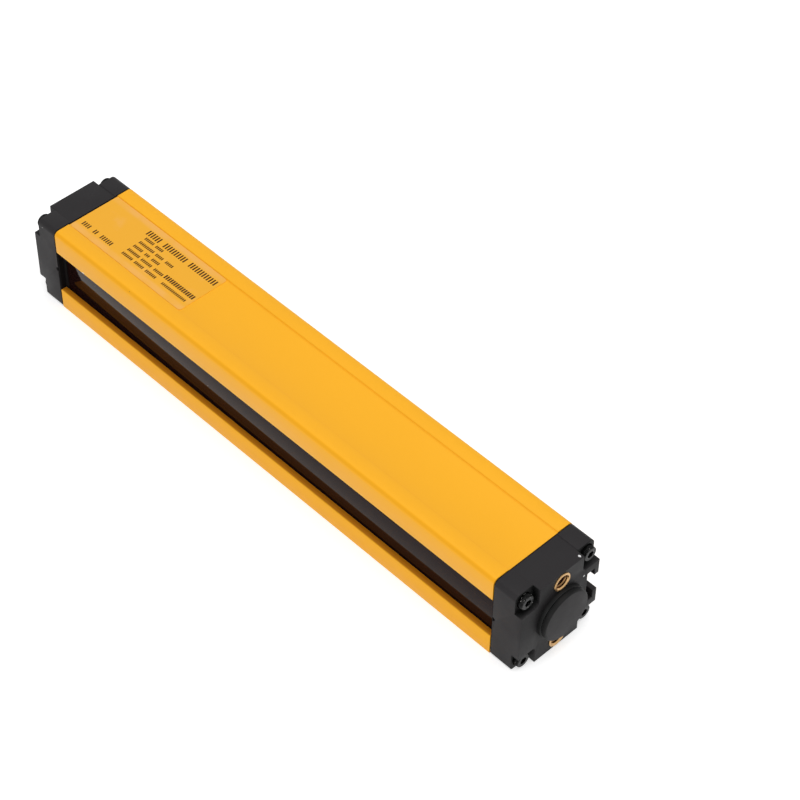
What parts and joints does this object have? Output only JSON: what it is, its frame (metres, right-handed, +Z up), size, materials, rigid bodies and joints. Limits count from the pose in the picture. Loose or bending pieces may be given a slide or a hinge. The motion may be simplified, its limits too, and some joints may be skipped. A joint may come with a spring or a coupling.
{
  "type": "safety light curtain bar",
  "caption": "Bar-shaped safety light curtain unit: extruded yellow housing with a dark optical window, a T-slot and moulded end caps, one blanked and one with a round connector.",
  "frame": {"origin": "on the base face, under the middle of the housing", "axes": "+X along the bar towards the blanked cap, -Y out of the optical window, +Z up, away from the base"},
  "size_m": [0.257, 0.036, 0.0368],
  "materials": {
    "yellow_coat": "satin powder coat",
    "dark_window": "polished dark acrylic",
    "cap_plastic": "fine moulded texture",
    "black_rubber": "matte",
    "black_screw": "black oxide",
    "insert_brass": "turned",
    "plated_metal": "nickel plated",
    "black_insulator": "satin",
    "pin_metal": "gold plated",
    "clear_lens": "polished",
    "diode_plastic": "clear tinted",
    "board_green": "solder mask",
    "chip_black": "moulded",
    "header_white": "moulded",
    "label_film": "thin clear film"
  },
  "bodies": {
    "root": {"housing": "yellow_coat", "front_window": "dark_window", "label_film": "label_film", "blank_end_cap": "cap_plastic", "connector_end_cap": "cap_plastic", "blanking_plug": "cap_plastic", "connector_shell": "plated_metal", "connector_nut": "plated_metal", "connector_insulator": "black_insulator", "optics_carrier": "chip_black", "main_board": "board_green", "wire_header": "header_white", "signal_chip": "chip_black", "supply_chip": "chip_black", "window_gasket_upper": "black_rubber", "window_gasket_lower": "black_rubber", "window_end_seal_blank": "black_rubber", "end_gasket_blank": "black_rubber", "cap_screw_blank_1": "black_screw", "cap_screw_blank_2": "black_screw", "cap_screw_blank_3": "black_screw", "cap_screw_blank_4": "black_screw", "insert_blank_upper": "insert_brass", "insert_blank_lower": "insert_brass", "window_end_seal_connector": "black_rubber", "end_gasket_connector": "black_rubber", "cap_screw_connector_1": "black_screw", "cap_screw_connector_2": "black_screw", "cap_screw_connector_3": "black_screw", "cap_screw_connector_4": "black_screw", "insert_connector_upper": "insert_brass", "insert_connector_lower": "insert_brass", "connector_pin_1": "pin_metal", "connector_pin_2": "pin_metal", "connector_pin_3": "pin_metal", "connector_pin_4": "pin_metal", "lens_1": "clear_lens", "diode_1": "diode_plastic", "lens_2": "clear_lens", "diode_2": "diode_plastic", "lens_3": "clear_lens", "diode_3": "diode_plastic", "lens_4": "clear_lens", "diode_4": "diode_plastic", "lens_5": "clear_lens", "diode_5": "diode_plastic", "lens_6": "clear_lens", "diode_6": "diode_plastic", "lens_7": "clear_lens", "diode_7": "diode_plastic", "lens_8": "clear_lens", "diode_8": "diode_plastic"}
  },
  "joints": []
}
